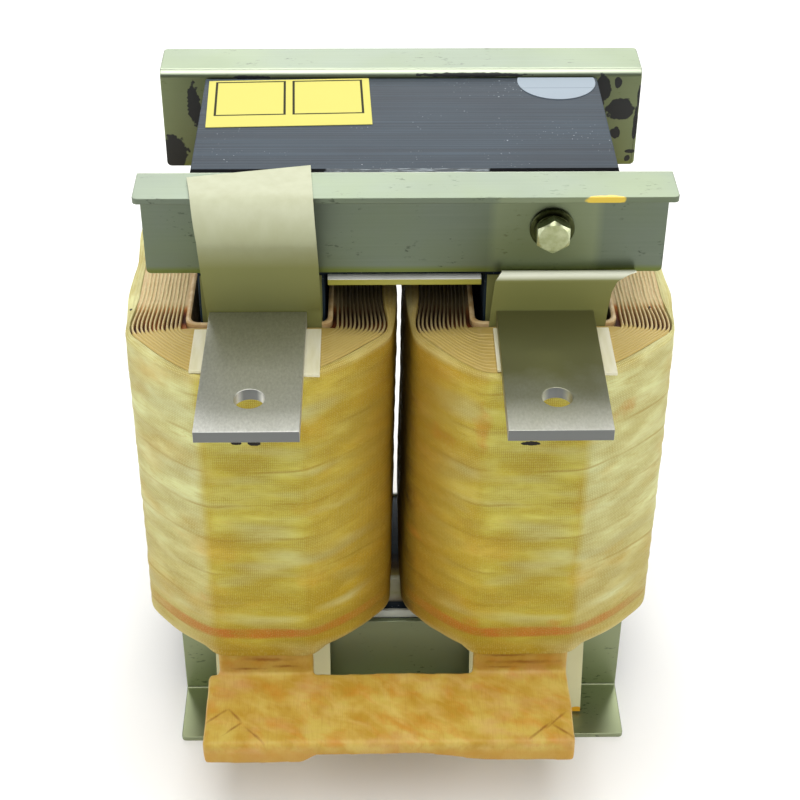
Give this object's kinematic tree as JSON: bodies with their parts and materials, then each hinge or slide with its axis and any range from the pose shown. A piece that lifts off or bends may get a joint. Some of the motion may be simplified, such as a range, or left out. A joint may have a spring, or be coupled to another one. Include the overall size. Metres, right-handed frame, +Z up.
{
  "type": "dc reactor",
  "caption": "Free-standing direct-current smoothing choke: taped foil coils in series on a laminated core held by steel angle clamps, with flat drilled terminals.",
  "frame": {"origin": "on the ground under the middle of the core, at the centre of the foot holes", "axes": "+X along the yokes to the right seen from the terminals, -Y towards the terminals, +Z up"},
  "size_m": [0.233, 0.2155, 0.2899],
  "materials": {
    "core_paint": "satin dark blue-grey varnish over laminations",
    "clamp_steel": "satin zinc with a green varnish film",
    "liner_board": "matt black pressboard",
    "white_board": "matt white laminate with a yellow varnish edge",
    "barrier_sheet": "satin pale green-yellow laminated paper",
    "former_board": "matt resin-soaked board",
    "foil_pack": "brown resin over foil and paper",
    "layer_paper": "satin cream paper edges",
    "glass_tape": "glossy varnished glass tape",
    "lead_tape": "glossy amber varnished glass tape",
    "bare_aluminium": "brushed",
    "pad_felt": "matt cream pressboard",
    "bolt_steel": "satin yellow-passivated zinc",
    "label_yellow": "glossy film",
    "label_white": "glossy film"
  },
  "bodies": {
    "root": {"lower_yoke": "core_paint", "upper_yoke": "core_paint", "left_limb": "core_paint", "right_limb": "core_paint", "front_top_clamp": "clamp_steel", "rear_top_clamp": "clamp_steel", "front_low_clamp": "clamp_steel", "rear_low_clamp": "clamp_steel", "top_liners": "liner_board", "low_liners": "liner_board", "window_board": "white_board", "window_strips": "white_board", "left_limb_liners": "barrier_sheet", "right_limb_liners": "barrier_sheet", "left_top_sheet": "barrier_sheet", "right_top_sheet": "barrier_sheet", "left_low_sheet": "barrier_sheet", "right_low_sheet": "barrier_sheet", "left_coil_wedges": "former_board", "right_coil_wedges": "former_board", "left_former": "former_board", "right_former": "former_board", "left_winding": "foil_pack", "right_winding": "foil_pack", "left_paper_edges": "layer_paper", "right_paper_edges": "layer_paper", "left_coil_wrap": "glass_tape", "right_coil_wrap": "glass_tape", "left_low_lead": "lead_tape", "right_low_lead": "lead_tape", "series_link": "lead_tape", "left_terminal": "bare_aluminium", "right_terminal": "bare_aluminium", "left_pad": "pad_felt", "right_pad": "pad_felt", "top_bolts": "bolt_steel", "low_bolts": "bolt_steel", "top_washers": "bolt_steel", "low_washers": "bolt_steel", "top_nuts": "bolt_steel", "low_nuts": "bolt_steel", "yellow_label": "label_yellow", "white_label": "label_white"}
  },
  "joints": []
}
